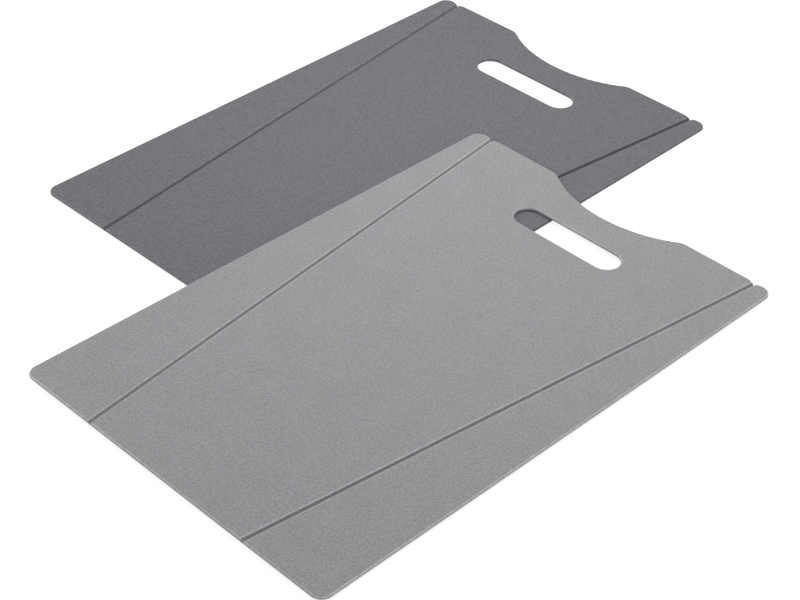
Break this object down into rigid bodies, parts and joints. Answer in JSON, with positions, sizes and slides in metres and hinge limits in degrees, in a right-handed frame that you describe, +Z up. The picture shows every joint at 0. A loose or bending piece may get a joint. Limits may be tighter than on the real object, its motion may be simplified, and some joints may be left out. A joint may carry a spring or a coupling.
{
  "type": "folding chopping board set",
  "caption": "Set of thin moulded chopping boards, one laid over the other, each with a finger slot, a scooped handle end and side wings that fold up along slanting grooves into a chute.",
  "frame": {"origin": "centre of the lower board's underside", "axes": "+X from the lower board's plain end to its handle end, +Y to its left wing, +Z up through both boards"},
  "size_m": [0.5074, 0.3959, 0.004],
  "materials": {
    "dark_sheet": "fine leather-like moulded grain, satin",
    "light_sheet": "fine leather-like moulded grain, satin"
  },
  "bodies": {
    "lower_board": {"lower_centre_panel": "dark_sheet", "lower_left_hinge_web": "dark_sheet", "lower_right_hinge_web": "dark_sheet"},
    "lower_left_wing": {"lower_left_wing": "dark_sheet"},
    "lower_right_wing": {"lower_right_wing": "dark_sheet"},
    "upper_board": {"upper_centre_panel": "light_sheet", "upper_left_hinge_web": "light_sheet", "upper_right_hinge_web": "light_sheet"},
    "upper_left_wing": {"upper_left_wing": "light_sheet"},
    "upper_right_wing": {"upper_right_wing": "light_sheet"}
  },
  "joints": [
    {"name": "upper_board_lift", "type": "slide", "parent": "lower_board", "child": "upper_board", "axis": [0, 0, 1], "range_m": [0, 0.2]},
    {"name": "lower_left_wing_fold", "type": "hinge", "parent": "lower_board", "child": "lower_left_wing", "pos_m": [0, 0.0879, 0.0005], "axis": [0.9924, 0.1227, 0], "range_deg": [0, 90]},
    {"name": "lower_right_wing_fold", "type": "hinge", "parent": "lower_board", "child": "lower_right_wing", "pos_m": [0, -0.0879, 0.0005], "axis": [-0.9924, 0.1227, 0], "range_deg": [0, 90]},
    {"name": "upper_left_wing_fold", "type": "hinge", "parent": "upper_board", "child": "upper_left_wing", "pos_m": [-0.12459, -0.05651, 0.0025], "axis": [0.994, 0.1091, 0], "range_deg": [0, 90]},
    {"name": "upper_right_wing_fold", "type": "hinge", "parent": "upper_board", "child": "upper_right_wing", "pos_m": [-0.12701, -0.23229, 0.0025], "axis": [-0.9907, 0.1364, 0], "range_deg": [0, 90]}
  ],
  "couplings": [
    {"joint": "lower_right_wing_fold", "follows": "upper_board_lift", "rad_per_m": 7.85}
  ]
}
